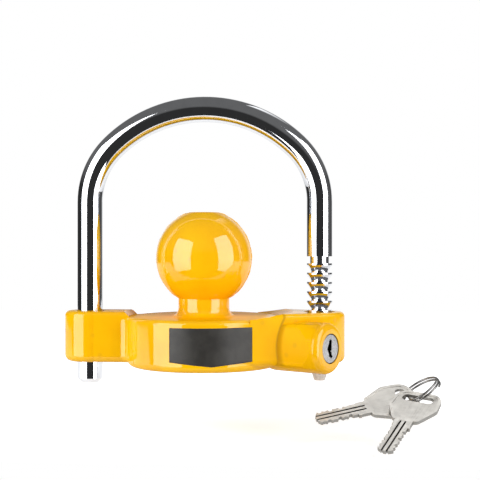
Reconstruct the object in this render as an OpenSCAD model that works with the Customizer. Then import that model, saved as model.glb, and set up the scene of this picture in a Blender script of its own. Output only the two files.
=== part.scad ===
// Trailer coupler lock. The ball fills the socket of an unhitched coupler, and a ratchet shackle
// passes over the coupler and locks into the body with a key.
// The origin is the centre of the ball, +Z is up along the neck, +X points to the lock end and
// -Y to the front. All sizes are millimetres.

/* [Ball and neck] */
// Diameter of the ball
ball_d = 47.6; // [44:0.1:50]
// Diameter of the flat on top of the ball
ball_flat_d = 14.8; // [8:0.1:20]
// Diameter of the neck
neck_d = 25.4; // [18:0.1:28]
// Fillet at the foot of the neck
neck_fillet = 4; // [1:0.1:5]
// Height of the ball's centre above the arms' top faces
ball_rise = 26.5; // [25:0.1:32]

/* [Body] */
// Thickness of the two arms
body_t = 25; // [22:0.1:30]
// Depth of the disc's top face below the arms' top faces
disc_drop = 2.4; // [1.5:0.1:3.5]
// Thickness of the disc
disc_t = 24.5; // [22:0.1:30]
// Diameter of the disc under the ball
disc_d = 76; // [70:0.5:84]
// Diameter of the bosses at the two legs
boss_d = 24.8; // [23:0.1:30]
// Width of the left arm between its boss and the disc
arm_w = 23.4; // [20:0.1:24]
// Radius of the hollow corners between the left arm and the disc
notch_r = 8; // [4:0.5:14]
// Radius of the body's upper edges
edge_r = 2.2; // [0.8:0.1:4]
// Radius of the body's lower edges
foot_r = 3.4; // [1:0.1:4.5]
// Width of the slope from the left arm down to the disc
left_slope = 2; // [1:0.1:4]
// Width of the slope from the right arm down to the disc
right_slope = 6; // [3:0.1:6]
// Countersink at the mouth of each leg hole
mouth_chamfer = 0.6; // [0.2:0.1:1.5]

/* [Shackle] */
// Diameter of the shackle bar
bar_d = 12.7; // [10:0.1:14]
// Distance between the axes of the two legs
leg_spacing = 115; // [105:0.5:130]
// Height of the bar's crown above the ball's centre, on the bar's axis
crown_height = 74; // [68:0.5:95]
// Bend radius of the crown, on the bar's axis
crown_r = 66; // [60:0.5:80]
// Bend radius of the two shoulders, on the bar's axis
shoulder_r = 38; // [30:0.5:45]
// Length of the plain leg that shows below the body
plain_tip = 10.9; // [5:0.1:20]
// Chamfer at the end of the plain leg
tip_chamfer = 2.2; // [0.5:0.1:3]
// Radial play of the plain leg in its hole
plain_play = 0.5; // [0.3:0.05:1]
// Radial play of the ratchet leg in its hole
ratchet_play = 0.9; // [0.5:0.05:1.5]

/* [Ratchet] */
// Distance from one tooth to the next
tooth_pitch = 4.6; // [4:0.1:6]
// Diameter over the teeth
tooth_d = 12.6; // [9.5:0.1:12.6]
// Diameter at the root of the teeth
root_d = 8.2; // [6:0.1:8.5]
// Height of a tooth's cylindrical rim
rim_h = 0.8; // [0.4:0.1:1.2]
// Height of the straight root above a tooth's flat face
root_h = 0.8; // [0.4:0.1:1.2]
// Grooves above the one that faces the pawl
grooves_above = 9; // [6:1:9]
// Grooves below the one that faces the pawl, down to the tip
grooves_below = 2; // [1:1:2]
// Length of the tapered tip
taper_l = 6.35; // [5:0.05:14]
// Diameter of the tapered tip under the last tooth
tip_d = 9.6; // [8:0.1:12]
// Diameter at the end of the tapered tip
taper_d = 5.3; // [3:0.1:7]
// Length of the neck between the top tooth and the plain bar
relief_h = 3.5; // [3:0.1:8]
// Diameter of that neck
relief_d = 9.4; // [8:0.1:11]

/* [Lock barrel] */
// Angle of the barrel from the +X axis toward the front
lock_angle = 33; // [28:1:38]
// Diameter of the barrel
barrel_d = 24.4; // [22:0.1:28]
// Centre of the barrel's face to the right of the ratchet leg
face_right = 5.5; // [3:0.1:8]
// Centre of the barrel's face in front of the ratchet leg
face_front = 25.5; // [24:0.1:32]
// Depth of the barrel's axis below the arms' top faces
axis_drop = 15.9; // [12.4:0.1:16]
// Fillet round the barrel's face
face_fillet = 3; // [1:0.1:4]
// Wall of the barrel behind its bore
barrel_back = 3; // [2:0.1:6]
// Reach of the barrel's flank from its axis, on the side of the disc
flank_side = 12.3; // [12.3:0.1:13]
// Radius of the flank's slight bow
flank_bow = 30; // [20:1:60]
// Height of the flank above the axis
flank_top = 11.4; // [9:0.1:12]
// Depth of the flank below the axis
flank_foot = 9; // [7:0.1:9]
// Rounding of the flank's edges
flank_r = 2.5; // [1:0.1:4]
// Length behind the face over which the flank grows out of the round barrel
flank_run = 19; // [10:0.5:24]

/* [Lock cylinder] */
// Diameter of the sleeve
sleeve_d = 13.2; // [13:0.1:16]
// Depth of the key face below the barrel's face
face_recess = 0.3; // [0.1:0.1:1]
// Diameter of the plug
plug_d = 10.4; // [9.8:0.1:11]
// Length of the plug
plug_l = 20; // [18.5:0.1:21]
// Radial clearance of turning and sliding fits
running_fit = 0.06; // [0.03:0.01:0.1]
// Width of the ring seal round the sleeve
seal_w = 0.45; // [0.4:0.05:1.2]
// Height of the ring seal
seal_h = 1; // [0.6:0.1:2]
// Thickness of the cam
cam_t = 1.6; // [1.2:0.1:2]
// Wall of the sleeve round the cam
cam_wall = 0.85; // [0.7:0.05:1.2]
// Thickness of the snap ring behind the cam
clip_t = 0.5; // [0.3:0.05:0.8]
// Diameter of the pin that holds the sleeve in the barrel
keeper_d = 3; // [2:0.1:4]
// Distance of that pin behind the barrel's face
keeper_back = 18; // [12:0.5:19]

/* [Wafers] */
// Key code: height of each wafer's window above the plug's axis, front to back
wafer_lift = [0.4, -0.3, 0.5, -0.5, 0.2, -0.2];
// Thickness of a wafer
wafer_t = 1; // [0.8:0.05:1.2]
// Width of a wafer
wafer_w = 5; // [4.8:0.1:5.4]
// Distance from one wafer to the next
wafer_pitch = 2.6; // [2.4:0.05:2.7]
// Distance of the first wafer behind the key face
wafer_first = 3.7; // [3:0.1:4.2]
// Height of a wafer's window
window_h = 6.2; // [5.8:0.1:6.4]
// Width of a wafer's window
window_w = 3; // [2.8:0.05:3.2]

/* [Pawl] */
// Diameter of the pawl
pawl_d = 5; // [4:0.1:5.4]
// Angle of the pawl from square to the barrel's axis
pawl_tilt = 35; // [33:1:38]
// Travel of the pawl between free and locked
pawl_travel = 2.9; // [2.4:0.05:3]
// Depth of the pawl's flat underside below its axis
pawl_flat = 1.5; // [1:0.1:1.8]
// Gap between the locked pawl and the ratchet groove
groove_gap = 0.3; // [0.15:0.05:0.4]
// Length of the pawl behind the barrel's axis
pawl_tail = 6; // [5:0.1:7]
// Room behind the pawl for its spring
spring_room = 9; // [7:0.1:12]
// Diameter of the cam's eccentric pin
cam_pin_d = 2; // [1.6:0.1:2.2]
// Thickness of the plug in the outer wall of the right boss
access_plug_l = 4; // [2:0.1:4.5]

/* [Keys] */
// Thickness of a key
key_t = 2; // [1.8:0.05:2.3]
// Width of the blade
blade_w = 7.3; // [7.1:0.05:7.5]
// Length of the blade in front of its last cut
tip_reach = 2.9; // [2.6:0.1:3.2]
// Length of the whole key
key_l = 50; // [46:0.5:56]
// Width of the bow
bow_w = 23; // [18:0.5:26]
// Length of the slot across the bow
slot_l = 15; // [13:0.1:16]
// Width of that slot
slot_w = 5.2; // [4.6:0.1:5.5]
// Bar of the bow outside the slot
slot_bar = 3; // [2.5:0.1:3.2]
// Width of the raised rim round the bow
panel_rim = 1.4; // [1:0.1:2]
// Depth of the panel inside that rim
panel_depth = 0.2; // [0.1:0.05:0.4]
// Distance between the two grooves of the blade
groove_pitch = 2.3; // [2:0.1:2.6]
// Width of a groove
groove_w = 0.9; // [0.7:0.05:1.1]
// Depth of a groove
groove_depth = 0.65; // [0.4:0.05:0.75]
// Clearance of the key in the keyway
key_play = 0.15; // [0.08:0.01:0.2]
// Outer diameter of the split ring
ring_d = 20; // [19:0.5:21]
// Wire of the split ring
ring_wire = 1; // [0.8:0.1:1.1]

/* [Hidden] */
$fn = 64;
// Depth by which joined shapes of one piece reach into each other
bite = 0.2;
// Radial gap of pressed-in pieces
press_gap = 0.01;
body_top = -ball_rise;
body_bottom = body_top - body_t;
disc_top = body_top - disc_drop;
// Upper and lower face of the arms, of the disc, and of what fills the corners between them
arm_level = [body_top, body_bottom];
disc_level = [disc_top, disc_top - disc_t];
web_level = [disc_top, body_bottom];
// The slopes start a little inside the disc's rim on the left and a little outside it on the right
left_slope_r = disc_d / 2 - 0.5;
right_slope_r = disc_d / 2 + 1;
leg_x = leg_spacing / 2;
bar_r = bar_d / 2;
plain_hole_d = bar_d + 2 * plain_play;
ratchet_hole_d = bar_d + 2 * ratchet_play;
// Arch: the crown's arc meets each shoulder's arc where both have the same tangent
shoulder_x = leg_x - shoulder_r;
crown_half_angle = asin(shoulder_x / (crown_r - shoulder_r));
shoulder_z = crown_height - crown_r + (crown_r - shoulder_r) * cos(crown_half_angle);
crown_z = crown_height - crown_r;
plain_end = body_bottom - plain_tip;
bend_lap = 1;
bend_step = 0.02;
// The right arm's walls are the common tangents of the disc and the boss
wing_angle = asin((disc_d - boss_d) / 2 / leg_x);
wing_l = leg_x * cos(wing_angle);
// Its edges are a little rounder than those of the disc and the boss, which they meet almost in line
wing_round = 0.2;
// Lock barrel: place of its face, and of the leg's axis seen in the barrel's own frame
face_centre = [leg_x + face_right, -face_front, body_top - axis_drop];
leg_side = face_front * cos(lock_angle) - face_right * sin(lock_angle);
leg_back = face_right * cos(lock_angle) + face_front * sin(lock_angle);
pawl_back = leg_back + leg_side * tan(pawl_tilt);
leg_reach = leg_side / cos(pawl_tilt);
pawl_nose = leg_reach - root_d / 2 - groove_gap - pawl_travel;
pawl_bore_d = pawl_d + 2 * running_fit;
plug_sink = 0.3;
barrel_bore_d = sleeve_d + 2 * running_fit;
bore_depth = pawl_back + pawl_d;
seal_seat_d = barrel_bore_d + 2 * seal_w + 2 * running_fit;
seal_depth = face_recess + seal_h + bite;
keeper_sink = 0.6;
keeper_bite = 0.45;
keeper_wall = 0.6;
keeper_slit = 0.5;
plug_end = face_recess + plug_l;
cam_d = sleeve_d - 2 * cam_wall - 2 * running_fit;
cam_front = plug_end + running_fit;
cam_end = cam_front + cam_t;
clip_front = cam_end + running_fit;
clip_groove = 0.4;
clip_lip = 0.5;
clip_w = 1.3;
clip_mouth = 3.6;
sleeve_end = clip_front + clip_t + running_fit + clip_lip;
wafer_count = len(wafer_lift);
blade_l = wafer_first + (wafer_count - 1) * wafer_pitch + tip_reach;
// Bent lead-in at the keyway's mouth: its depth, its width and the three points of its line
mouth_depth = 2.2;
mouth_w = 1.8;
mouth_top = [0.5, 4.2];
mouth_bend = [-1.6, 0];
mouth_foot = [1.2, -4.4];
// Room for a wafer to rise when no key holds it
wafer_rise = 0.8;
channel_d = plug_d + 2 * wafer_rise;
throw = pawl_travel * cos(pawl_tilt) / sqrt(2);
cam_pin_side = throw * cos(45);
cam_pin_end = pawl_back + pawl_d / 4;
lug_w = 1.8;
lug_l = 0.8;
lug_side = plug_d / 2 - 1.9;
ear_w = 1.5;
ear_h = 0.8;
ear_y = 0.8;
spring_pocket_h = 3.6;
spring_wire = 0.3;
spring_r = 0.45;
spring_turns = 4;
spring_pitch = (spring_pocket_h - spring_wire - 2 * running_fit) / spring_turns;
pawl_wire = 0.6;
pawl_turns = 6;
pawl_pitch = (spring_room - pawl_wire - 2 * running_fit) / pawl_turns;
pawl_coil_r = pawl_d / 2 - pawl_wire / 2 - bite;
// Ratchet: the flat face of the groove that the pawl enters, and the one of the top tooth
pawl_z = face_centre[2];
flat_z = pawl_z - pawl_flat - groove_gap / 2;
top_flat = flat_z + grooves_above * tooth_pitch;
tip_flat = flat_z - grooves_below * tooth_pitch;
cone_h = tooth_pitch - rim_h - root_h;
plain_start = top_flat + relief_h;
// Keys: they are shown above a floor just below the lowest reach of the shackle
push_notches = 5;
floor_gap = 0.3;
key_floor = plain_end - push_notches * tooth_pitch - floor_gap;
slot_x = key_l - slot_bar - slot_w / 2;
key_tip_w = 2.4;
// Each wafer's cut in the blade: its width at the blade's edge and at its floor
cut_top = 2.3;
cut_floor = 1;
tip_land = 0.15;
key_tip_l = tip_reach - cut_top / 2 - tip_land;
stop_l = 1.4;
stop_w = blade_w + 1.8;
key_neck_w = 8.4;
groove_run = 5;
// Three arcs of the bow's outline: their radii, and their centres measured from the blade, the far end and the side
bow_r1 = 3;
bow_r2 = 5;
bow_r3 = 6;
bow_x1 = 9;
bow_x2 = 12;
bow_y1 = 7.5;
bow_y3 = 6.5;
bow_c1 = [blade_l + bow_x1, bow_w / 2 - bow_y1];
bow_c2 = [key_l - bow_x2, bow_w / 2 - bow_r2];
bow_c3 = [key_l - bow_r3, bow_w / 2 - bow_y3];
arc_steps = 8;
// How the keys are turned: heading, rise of the bow and roll
key_1_turn = [19.2, 9.8, 29.3];
key_2_turn = [64.6, 22.8, 6.5];
// Middle of the first key's slot, and the steps from it to the second key's slot and to the ring's centre
slot_right = 97.5;
slot_front = 23;
slot_lift = 19.3;
second_right = 5.8;
second_front = 6.5;
second_lift = 0.7;
ring_right = 7.8;
ring_back = 2.1;
ring_lift = 4.3;
slot_1 = [slot_right, -slot_front, key_floor + slot_lift];
slot_2 = slot_1 + [second_right, -second_front, second_lift];
ring_centre = slot_1 + [ring_right, ring_back, ring_lift];
ring_tilt = 35;
ring_heading = 200.8;
ring_spin = 131.6;
ring_turns = 2;
ring_steps = 24;
ring_gap = 0.45;
ring_mean_r = (ring_d - ring_wire) / 2;
ring_pitch = ring_wire + ring_gap;
chrome = [0.80, 0.81, 0.83];
yellow = [0.99, 0.70, 0.05];
zinc = [0.70, 0.71, 0.72];
nickel = [0.76, 0.75, 0.72];
brass = [0.80, 0.65, 0.30];
steel = [0.55, 0.56, 0.58];
black = [0.05, 0.05, 0.06];

// Rectangle centred on the origin with round corners
module rounded_section(w, h, r) {
    square([w - 2 * r, h], center = true);
    square([w, h - 2 * r], center = true);
    for (x = [-1, 1], y = [-1, 1])
        translate([x * (w / 2 - r), y * (h / 2 - r)]) circle(r);
}

// Upright section of the body between two levels, with the upper and lower edge radii grown a little
module body_section(w, level, grow) {
    h = level[0] - level[1];
    top = edge_r + grow;
    foot = foot_r + grow;
    translate([-w / 2, level[1] + foot]) square([w, h - top - foot]);
    translate([top - w / 2, level[0] - h / 2]) square([w - 2 * top, h / 2]);
    translate([foot - w / 2, level[1]]) square([w - 2 * foot, h / 2 + bite]);
    for (s = [-1, 1]) {
        translate([s * (w / 2 - top), level[0] - top]) circle(top);
        translate([s * (w / 2 - foot), level[1] + foot]) circle(foot);
    }
}

// Round pad of the body with rounded rims, about the Z axis
module round_pad(d, level) {
    rotate_extrude() intersection() {
        body_section(d, level, 0);
        translate([0, level[1] - 1]) square([d, level[0] - level[1] + 2]);
    }
}

// Straight piece of the body with rounded edges, running from the origin along +X
module round_bar(l, w, level, grow) {
    rotate([90, 0, 90]) linear_extrude(l) body_section(w, level, grow);
}

// What is cut from an arm above the disc: a cone that widens from the disc's top face up
module slope_cut(r, run) {
    steep = run / disc_drop;
    translate([0, 0, disc_top - bite])
        cylinder(r1 = r - bite * steep, r2 = r + run + bite * steep, h = disc_drop + 2 * bite);
}

// What is cut from a hollow corner: a post whose two ends flare, so that the corner's rims are round
module flared_post(r, level) {
    rotate_extrude() {
        translate([0, level[1] - 1]) square([r, level[0] - level[1] + 2]);
        for (end = [[level[0], 1, edge_r], [level[1], -1, foot_r]])
            translate([r, end[0]]) scale([1, end[1]]) difference() {
                translate([-bite, -end[2]]) square([end[2] + bite, end[2] + 1]);
                translate([end[2], -end[2]]) circle(end[2]);
            }
    }
}

// Hollow corner between the left arm and the disc, on the side given by s
module notch_web(s) {
    reach = disc_d / 2 + notch_r - bite;
    y = arm_w / 2 + notch_r - bite;
    x = sqrt(reach * reach - y * y);
    k = (disc_d / 2 - foot_r) / reach;
    difference() {
        translate([0, 0, web_level[1]]) linear_extrude(web_level[0] - web_level[1])
            polygon([[-x, 0], [-x, s * y], [-x * k, s * y * k], [-x * k, 0]]);
        translate([-x, s * y, 0]) flared_post(notch_r, web_level);
    }
}

// Ball with its flat top, neck and the fillet at the neck's foot
module ball_and_neck() {
    flat_h = sqrt(ball_d * ball_d - ball_flat_d * ball_flat_d) / 2;
    rotate_extrude() {
        intersection() {
            circle(d = ball_d);
            translate([0, -ball_d]) square([ball_d, ball_d + flat_h]);
        }
        translate([0, disc_top - edge_r]) square([neck_d / 2, ball_rise]);
        difference() {
            translate([0, disc_top - edge_r]) square([neck_d / 2 + neck_fillet, neck_fillet + edge_r]);
            translate([neck_d / 2 + neck_fillet, disc_top + neck_fillet]) circle(neck_fillet);
        }
    }
}

module left_arm() {
    difference() {
        translate([-leg_x, 0, 0]) round_bar(leg_x, arm_w, arm_level, 0);
        slope_cut(left_slope_r, left_slope);
    }
}

// One bar along each common tangent of the disc and the right boss, inside it by the depth given
module tangent_bars(level, inset) {
    for (s = [-1, 1])
        rotate([0, 0, -s * wing_angle]) translate([0, s * (disc_d / 2 - boss_d / 2 - inset), 0])
            round_bar(wing_l, boss_d, level, wing_round);
}

// Right arm: it slopes down to the level of the disc, where a lower pair of bars takes over
module right_arm() {
    difference() {
        tangent_bars(arm_level, bite / 2);
        slope_cut(right_slope_r, right_slope);
        translate([0, 0, body_bottom - 1]) cylinder(r = right_slope_r, h = body_t);
    }
    tangent_bars(web_level, bite);
}

// Frame of the lock barrel: +Z out of the face, +X toward the ratchet leg, +Y up
module lock_place() {
    translate(face_centre) rotate([90, 0, 90 - lock_angle]) children();
}

// Frame of the pawl: +X toward the ratchet leg, +Y up, origin on the barrel's axis
module pawl_place() {
    lock_place() translate([0, 0, -pawl_back]) rotate([0, -pawl_tilt, 0]) children();
}

// Cylinder along the barrel's axis between two depths behind the face
module lock_rod(d, from, to) {
    translate([0, 0, -to]) cylinder(d = d, h = to - from);
}

// Cylinder along the pawl's axis
module pawl_rod(d, from, to) {
    translate([from, 0, 0]) rotate([0, 90, 0]) cylinder(d = d, h = to - from);
}

module barrel() {
    l = bore_depth + barrel_back;
    nose = barrel_d / 2 - edge_r;
    lock_place() rotate_extrude() {
        translate([0, -l + nose]) square([barrel_d / 2, l - nose - face_fillet]);
        translate([0, -face_fillet]) square([barrel_d / 2 - face_fillet, face_fillet]);
        translate([barrel_d / 2 - face_fillet, -face_fillet]) intersection() {
            circle(face_fillet);
            square(face_fillet);
        }
        intersection() {
            translate([0, -l + nose]) circle(d = barrel_d);
            translate([0, -l]) square([barrel_d, nose]);
        }
    }
}

// Section of the barrel's flank: a slight bow with a rounded upper and lower edge
module flank_section() {
    middle = flank_side - flank_bow;
    for (end = [[flank_top, 1], [flank_foot, -1]]) {
        y = end[0] - flank_r;
        x = middle + sqrt(pow(flank_bow - flank_r, 2) - y * y) + bite / 2;
        scale([-1, end[1]]) {
            intersection() {
                translate([middle, 0]) circle(flank_bow);
                translate([0, -bite]) square([flank_side + 1, y * flank_bow / (flank_bow - flank_r) + bite]);
            }
            translate([0, -bite]) square([x, end[0] + bite]);
            translate([x, y]) circle(flank_r);
        }
    }
}

// Flank that squares the barrel where it meets the right arm; a cone makes it fade toward the face
module flank() {
    from = face_fillet + 1;
    to = bore_depth + barrel_back / 2;
    steep = (norm([flank_side, flank_top]) - barrel_d / 2) / (flank_run - from);
    lock_place() intersection() {
        translate([0, 0, -to]) linear_extrude(to - from) flank_section();
        translate([0, 0, -to])
            cylinder(r1 = barrel_d / 2 + (to - from) * steep, r2 = barrel_d / 2, h = to - from);
    }
}

// Leg hole with a countersunk mouth at both ends
module leg_hole(x, d) {
    translate([x, 0, body_bottom - 1]) cylinder(d = d, h = body_t + 2);
    translate([x, 0, body_top - mouth_chamfer])
        cylinder(d1 = d, d2 = d + 4 * mouth_chamfer, h = 2 * mouth_chamfer);
    translate([x, 0, body_bottom - mouth_chamfer])
        cylinder(d1 = d + 4 * mouth_chamfer, d2 = d, h = 2 * mouth_chamfer);
}

module body_casting() {
    color(yellow) difference() {
        union() {
            ball_and_neck();
            round_pad(disc_d, disc_level);
            for (s = [-1, 1]) translate([s * leg_x, 0, 0]) round_pad(boss_d, arm_level);
            left_arm();
            notch_web(-1);
            notch_web(1);
            right_arm();
            barrel();
            flank();
        }
        leg_hole(-leg_x, plain_hole_d);
        leg_hole(leg_x, ratchet_hole_d);
        lock_place() {
            lock_rod(barrel_bore_d, -1, bore_depth);
            lock_rod(seal_seat_d, -1, seal_depth);
            translate([0, 0, -keeper_back]) rotate([90, 0, 0]) cylinder(d = keeper_d, h = barrel_d);
        }
        pawl_place() pawl_rod(pawl_bore_d, -pawl_tail - spring_room, leg_reach + boss_d);
    }
}

// Half outline of the plain leg, from its chamfered end to the shoulder
function plain_outline() = [[0, plain_end], [bar_r - tip_chamfer, plain_end],
    [bar_r, plain_end + tip_chamfer], [bar_r, shoulder_z], [0, shoulder_z]];

// Half outline of the ratchet leg, from its tip up to the shoulder
function ratchet_outline() = concat(
    [[0, tip_flat - rim_h - taper_l], [taper_d / 2, tip_flat - rim_h - taper_l],
        [tip_d / 2, tip_flat - rim_h], [tooth_d / 2, tip_flat - rim_h], [tooth_d / 2, tip_flat]],
    [for (k = [1 - grooves_below : grooves_above]) let (z = flat_z + k * tooth_pitch)
        each [[root_d / 2, z - tooth_pitch], [root_d / 2, z - rim_h - cone_h],
            [tooth_d / 2, z - rim_h], [tooth_d / 2, z]]],
    [[relief_d / 2, top_flat], [relief_d / 2, plain_start], [bar_r, plain_start], [bar_r, shoulder_z],
        [0, shoulder_z]]);

// Arc of the bar in the XZ plane about a centre, from an angle above the +X axis
module bar_arc(x, z, r, thickness, from, sweep) {
    translate([x, 0, z]) rotate([90, 0, 0]) rotate([0, 0, from])
        rotate_extrude(angle = sweep, $fn = 128) translate([r, 0]) circle(thickness);
}

// Bent bar: the shoulders are a hair thinner and lap into the crown and the legs, so all fuse into one
module shackle() {
    shoulder_sweep = 90 - crown_half_angle + 2 * bend_lap;
    shoulder_bar = bar_r - bend_step;
    color(chrome) {
        translate([-leg_x, 0, 0]) rotate_extrude() polygon(plain_outline());
        bar_arc(-shoulder_x, shoulder_z, shoulder_r, shoulder_bar, 90 + crown_half_angle - bend_lap,
            shoulder_sweep);
        bar_arc(0, crown_z, crown_r, bar_r, 90 - crown_half_angle, 2 * crown_half_angle);
        bar_arc(shoulder_x, shoulder_z, shoulder_r, shoulder_bar, -bend_lap, shoulder_sweep);
        translate([leg_x, 0, 0]) rotate_extrude() polygon(ratchet_outline());
    }
}

module cylinder_sleeve() {
    color(zinc) lock_place() difference() {
        lock_rod(sleeve_d, face_recess, sleeve_end);
        lock_rod(plug_d + 2 * running_fit, -1, sleeve_end + 1);
        lock_rod(cam_d + 2 * running_fit, plug_end, sleeve_end + 1);
        lock_rod(cam_d + 2 * clip_groove, clip_front - running_fit, clip_front + clip_t + running_fit);
        // Broad channels above and below, into which the wafers rise when no key holds them
        intersection() {
            lock_rod(channel_d, wafer_first - wafer_t, plug_end + running_fit);
            translate([-wafer_w / 2 - key_play, -sleeve_d, -plug_end - 1])
                cube([wafer_w + 2 * key_play, 2 * sleeve_d, plug_l]);
        }
        translate([0, keeper_bite + running_fit - sleeve_d / 2, -keeper_back]) rotate([90, 0, 0])
            cylinder(d = keeper_d, h = sleeve_d);
    }
}

module cylinder_seal() {
    inner = sleeve_d / 2 + running_fit;
    color(black) lock_place() translate([0, 0, -seal_depth + running_fit]) rotate_extrude()
        translate([inner + seal_w / 2, seal_h / 2]) rounded_section(seal_w, seal_h, seal_w / 3);
}

// Rolled pin with a slit, pressed in from the barrel's underside
module cylinder_pin() {
    head = barrel_d / 2 - keeper_sink;
    foot = sleeve_d / 2 - keeper_bite;
    color(steel) lock_place() translate([0, -foot, -keeper_back]) rotate([90, 0, 0]) difference() {
        cylinder(d = keeper_d - 2 * press_gap, h = head - foot);
        translate([0, 0, -1]) cylinder(d = keeper_d - 2 * keeper_wall, h = head);
        translate([-keeper_slit / 2, 0, -1]) cube([keeper_slit, keeper_d, head]);
    }
}

// Cross-section of the keyway: the blade's outline with one ward in a groove on each side
module keyway_section() {
    w = key_t + 2 * key_play;
    ward = groove_depth - key_play / 2 + key_play;
    difference() {
        square([w, blade_w + 2 * key_play], center = true);
        for (s = [-1, 1]) translate([-s * (w / 2 - ward / 2), s * groove_pitch / 2])
            square([ward, groove_w - 2 * key_play], center = true);
    }
}

// Pocket beside a wafer's slot for the wafer's ear and its spring
module ear_pocket() {
    translate([wafer_w / 2 - bite, ear_y - spring_pocket_h, -wafer_t / 2 - key_play])
        cube([ear_w + 2 * key_play, spring_pocket_h + ear_h + wafer_rise, wafer_t + 2 * key_play]);
}

// Straight stroke of the keyway's mouth from one point to another
module mouth_stroke(from, to) {
    along = to - from;
    translate(from) rotate(atan2(along[1], along[0])) translate([0, -mouth_w / 2])
        square([norm(along), mouth_w]);
}

function wafer_back(i) = face_recess + wafer_first + i * wafer_pitch;

module lock_plug() {
    color(zinc) lock_place() difference() {
        lock_rod(plug_d, face_recess, plug_end);
        translate([0, 0, -plug_end - 1]) linear_extrude(plug_l + 2) keyway_section();
        translate([0, 0, -face_recess - mouth_depth]) linear_extrude(mouth_depth + 1) {
            mouth_stroke(mouth_bend, mouth_top);
            mouth_stroke(mouth_bend, mouth_foot);
            translate(mouth_bend) circle(d = mouth_w);
        }
        for (i = [0 : wafer_count - 1]) translate([0, 0, -wafer_back(i)]) {
            translate([-wafer_w / 2 - running_fit, -plug_d, -wafer_t / 2 - running_fit])
                cube([wafer_w + 2 * running_fit, 2 * plug_d, wafer_t + 2 * running_fit]);
            ear_pocket();
        }
        for (s = [-1, 1]) translate([s * lug_side - lug_w / 2 - running_fit, -lug_w / 2 - running_fit,
            -plug_end - 1]) cube([lug_w + 2 * running_fit, lug_w + 2 * running_fit, lug_l + 1.1]);
    }
}

// One wafer, held level with the plug as the key holds it
module wafer(i) {
    color(brass) lock_place() translate([0, 0, -wafer_back(i) - wafer_t / 2]) linear_extrude(wafer_t) {
        difference() {
            intersection() {
                circle(d = plug_d - 2 * running_fit);
                square([wafer_w, plug_d], center = true);
            }
            translate([0, wafer_lift[i]]) square([window_w, window_h], center = true);
        }
        translate([wafer_w / 2 - bite, ear_y]) square([ear_w, ear_h]);
    }
}

// Points of a coil about the Z axis
function coil_path(r, pitch, turns, steps) = [for (i = [0 : turns * steps])
    let (a = 360 * i / steps) [r * cos(a), r * sin(a), pitch * i / steps]];

// Least distance between the wire's surfaces at points more than half a turn apart
function coil_gap(r, wire, pitch, turns, steps) = let (p = coil_path(r, pitch, turns, steps))
    min([for (i = [0 : len(p) - 1]) for (j = [i + steps / 2 : 1 : len(p) - 1]) norm(p[i] - p[j])]) - wire;

// Wire wound into a coil about the Z axis, as one unbroken tube
module coil(r, wire, pitch, turns, steps, sides) {
    path = coil_path(r, pitch, turns, steps);
    n = len(path);
    points = [for (i = [0 : n - 1], j = [0 : sides - 1]) let (a = 360 * i / steps, b = 360 * j / sides)
        path[i] + wire / 2 * [cos(b) * cos(a), cos(b) * sin(a), sin(b)]];
    skin = [for (i = [0 : n - 2], j = [0 : sides - 1]) let (k = (j + 1) % sides)
        each [[i * sides + j, (i + 1) * sides + k, i * sides + k],
            [i * sides + j, (i + 1) * sides + j, (i + 1) * sides + k]]];
    ends = [for (j = [1 : sides - 2]) each [[0, j, j + 1],
        [(n - 1) * sides, (n - 1) * sides + j + 1, (n - 1) * sides + j]]];
    polyhedron(points, concat(skin, ends));
}

// Wafer springs: each stands in its pocket under the ear of one wafer
module wafer_springs() {
    x = wafer_w / 2 + spring_r + spring_wire / 2 + running_fit;
    color(steel) lock_place() for (i = [0 : wafer_count - 1])
        translate([x, ear_y - spring_pocket_h + spring_wire / 2 + running_fit, -wafer_back(i)])
            rotate([-90, 0, 0]) coil(spring_r, spring_wire, spring_pitch, spring_turns, 8, 6);
}

module plug_cam() {
    color(steel) lock_place() difference() {
        union() {
            lock_rod(cam_d, cam_front, cam_end);
            for (s = [-1, 1]) translate([s * lug_side - lug_w / 2, -lug_w / 2, -cam_front - cam_t / 2])
                cube([lug_w, lug_w, lug_l + cam_t / 2]);
        }
        translate([-cam_pin_side, cam_pin_side, -cam_end - 1])
            cylinder(d = cam_pin_d + 2 * running_fit, h = cam_t + 2);
    }
}

module cam_pin() {
    color(steel) lock_place() translate([-cam_pin_side, cam_pin_side, 0])
        lock_rod(cam_pin_d, cam_front, cam_pin_end);
}

// Snap ring in the sleeve's groove, open at the bottom
module cam_clip() {
    outer = cam_d / 2 + clip_groove - running_fit;
    color(steel) lock_place() translate([0, 0, -clip_front - clip_t]) difference() {
        cylinder(r = outer, h = clip_t);
        translate([0, 0, -1]) cylinder(r = outer - clip_w, h = clip_t + 2);
        translate([-clip_mouth / 2, -sleeve_d, -1]) cube([clip_mouth, sleeve_d, clip_t + 2]);
    }
}

module locking_pawl() {
    notch = throw + cam_pin_d / 2 + key_play;
    nose_h = root_h + groove_gap;
    slope = cone_h / (tooth_d - root_d) * 2;
    run = 2 * pawl_d;
    color(steel) difference() {
        pawl_place() difference() {
            pawl_rod(pawl_d, -pawl_tail, pawl_nose);
            translate([pawl_nose - pawl_d, -pawl_flat - pawl_d, -pawl_d])
                cube([2 * pawl_d, pawl_d, 2 * pawl_d]);
            translate([0, 0, -pawl_d]) linear_extrude(2 * pawl_d)
                polygon([[pawl_nose, -pawl_flat + nose_h - groove_gap],
                    [pawl_nose - run, -pawl_flat + nose_h - groove_gap + run * slope],
                    [pawl_nose + 1, run * slope], [pawl_nose + 1, -pawl_flat + nose_h - groove_gap]]);
        }
        lock_place() translate([-notch, key_play / 2, -bore_depth - pawl_d])
            cube([2 * notch, pawl_d, 4 * pawl_d]);
    }
}

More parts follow.
